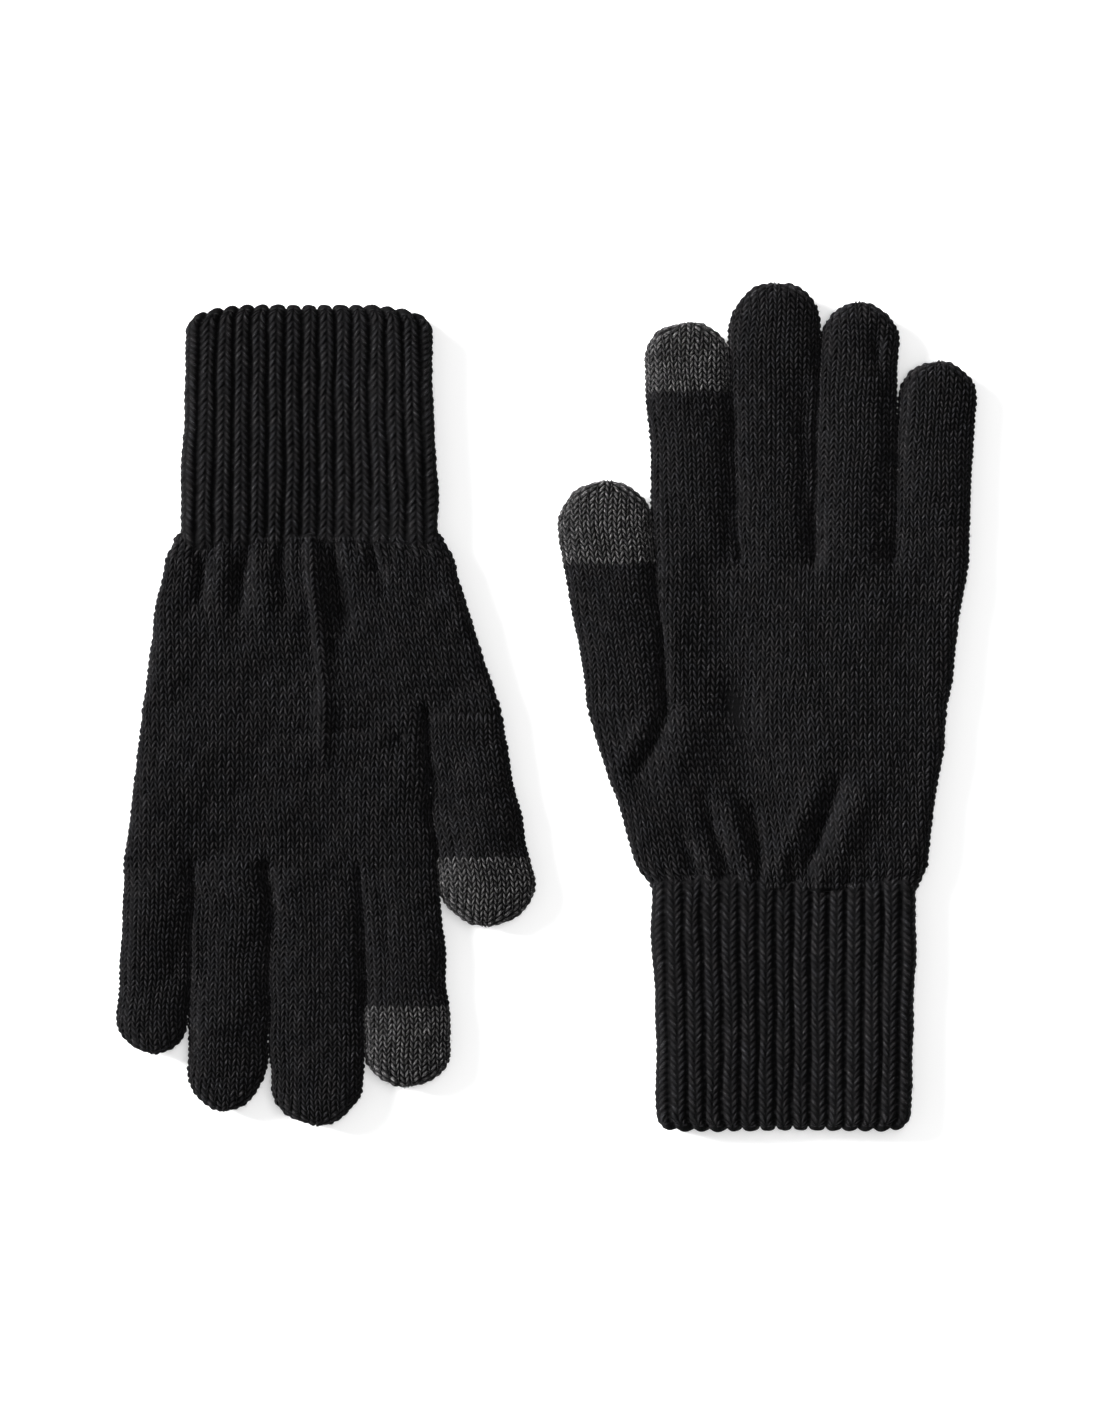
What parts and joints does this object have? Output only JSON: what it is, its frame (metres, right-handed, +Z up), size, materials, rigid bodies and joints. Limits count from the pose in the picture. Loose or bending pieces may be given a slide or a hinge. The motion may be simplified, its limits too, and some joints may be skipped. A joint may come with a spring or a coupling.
{
  "type": "touchscreen gloves",
  "caption": "Knitted gloves with ribbed cuffs and conductive thumb and index fingertips, lying flat side by side.",
  "frame": {"origin": "the middle of the pair's footprint, on the surface the gloves lie on", "axes": "+Z up from the surface; the right glove's fingers point to +Y and the left glove's to -Y; +X from the left glove to the right glove"},
  "size_m": [0.254, 0.25, 0.01],
  "materials": {
    "black_knit": "matt plain knit",
    "rib_knit": "matt rib knit",
    "conductive_knit": "matt knit in grey yarn with conductive fibres",
    "elastic_thread": "covered elastic thread"
  },
  "bodies": {
    "right_palm": {"right_hand": "black_knit"},
    "right_wristband": {"right_cuff": "rib_knit", "right_cuff_hem": "rib_knit", "right_cuff_elastic": "elastic_thread"},
    "right_thumb_base": {"right_thumb": "black_knit"},
    "right_thumb_tip": {"right_thumb_touch_tip": "conductive_knit"},
    "right_index_base": {"right_index_finger": "black_knit"},
    "right_index_tip": {"right_index_finger_touch_tip": "conductive_knit"},
    "right_middle_base": {"right_middle_finger": "black_knit"},
    "right_ring_base": {"right_ring_finger": "black_knit"},
    "right_little_base": {"right_little_finger": "black_knit"},
    "left_palm": {"left_hand": "black_knit"},
    "left_wristband": {"left_cuff": "rib_knit", "left_cuff_hem": "rib_knit", "left_cuff_elastic": "elastic_thread"},
    "left_thumb_base": {"left_thumb": "black_knit"},
    "left_thumb_tip": {"left_thumb_touch_tip": "conductive_knit"},
    "left_index_base": {"left_index_finger": "black_knit"},
    "left_index_tip": {"left_index_finger_touch_tip": "conductive_knit"},
    "left_middle_base": {"left_middle_finger": "black_knit"},
    "left_ring_base": {"left_ring_finger": "black_knit"},
    "left_little_base": {"left_little_finger": "black_knit"}
  },
  "joints": [
    {"name": "right_wrist_bend", "type": "hinge", "parent": "right_palm", "child": "right_wristband", "pos_m": [0.0703, -0.0526, 0.01], "axis": [-1, 0, 0], "range_deg": [0, 80]},
    {"name": "right_thumb_bend", "type": "hinge", "parent": "right_palm", "child": "right_thumb_base", "pos_m": [0.0235, -0.0006, 0.01], "axis": [1, 0, 0], "range_deg": [0, 90]},
    {"name": "right_thumb_tip_bend", "type": "hinge", "parent": "right_thumb_base", "child": "right_thumb_tip", "pos_m": [0.017, 0.0425, 0.01], "axis": [1, 0, 0], "range_deg": [0, 70]},
    {"name": "right_index_bend", "type": "hinge", "parent": "right_palm", "child": "right_index_base", "pos_m": [0.04435, 0.0444, 0.01], "axis": [1, 0, 0], "range_deg": [0, 90]},
    {"name": "right_index_tip_bend", "type": "hinge", "parent": "right_index_base", "child": "right_index_tip", "pos_m": [0.04165, 0.093, 0.01], "axis": [1, 0, 0], "range_deg": [0, 70]},
    {"name": "right_middle_bend", "type": "hinge", "parent": "right_palm", "child": "right_middle_base", "pos_m": [0.06765, 0.0444, 0.01], "axis": [1, 0, 0], "range_deg": [0, 90]},
    {"name": "right_ring_bend", "type": "hinge", "parent": "right_palm", "child": "right_ring_base", "pos_m": [0.0907, 0.0444, 0.01], "axis": [1, 0, 0], "range_deg": [0, 90]},
    {"name": "right_little_bend", "type": "hinge", "parent": "right_palm", "child": "right_little_base", "pos_m": [0.11365, 0.0444, 0.01], "axis": [1, 0, 0], "range_deg": [0, 90]},
    {"name": "left_wrist_bend", "type": "hinge", "parent": "left_palm", "child": "left_wristband", "pos_m": [-0.0703, 0.0493, 0.01], "axis": [1, 0, 0], "range_deg": [0, 80]},
    {"name": "left_thumb_bend", "type": "hinge", "parent": "left_palm", "child": "left_thumb_base", "pos_m": [-0.0235, -0.0027, 0.01], "axis": [-1, 0, 0], "range_deg": [0, 90]},
    {"name": "left_thumb_tip_bend", "type": "hinge", "parent": "left_thumb_base", "child": "left_thumb_tip", "pos_m": [-0.017, -0.0444, 0.01], "axis": [-1, 0, 0], "range_deg": [0, 70]},
    {"name": "left_index_bend", "type": "hinge", "parent": "left_palm", "child": "left_index_base", "pos_m": [-0.0436, -0.0477, 0.01], "axis": [-1, 0, 0], "range_deg": [0, 90]},
    {"name": "left_index_tip_bend", "type": "hinge", "parent": "left_index_base", "child": "left_index_tip", "pos_m": [-0.0412, -0.0882, 0.01], "axis": [-1, 0, 0], "range_deg": [0, 70]},
    {"name": "left_middle_bend", "type": "hinge", "parent": "left_palm", "child": "left_middle_base", "pos_m": [-0.06895, -0.0477, 0.01], "axis": [-1, 0, 0], "range_deg": [0, 90]},
    {"name": "left_ring_bend", "type": "hinge", "parent": "left_palm", "child": "left_ring_base", "pos_m": [-0.09345, -0.0477, 0.01], "axis": [-1, 0, 0], "range_deg": [0, 90]},
    {"name": "left_little_bend", "type": "hinge", "parent": "left_palm", "child": "left_little_base", "pos_m": [-0.11435, -0.0477, 0.01], "axis": [-1, 0, 0], "range_deg": [0, 90]},
    {"name": "left_glove_lift", "type": "slide", "parent": "right_palm", "child": "left_palm", "axis": [0, 0, 1], "range_m": [0, 0.15]}
  ]
}
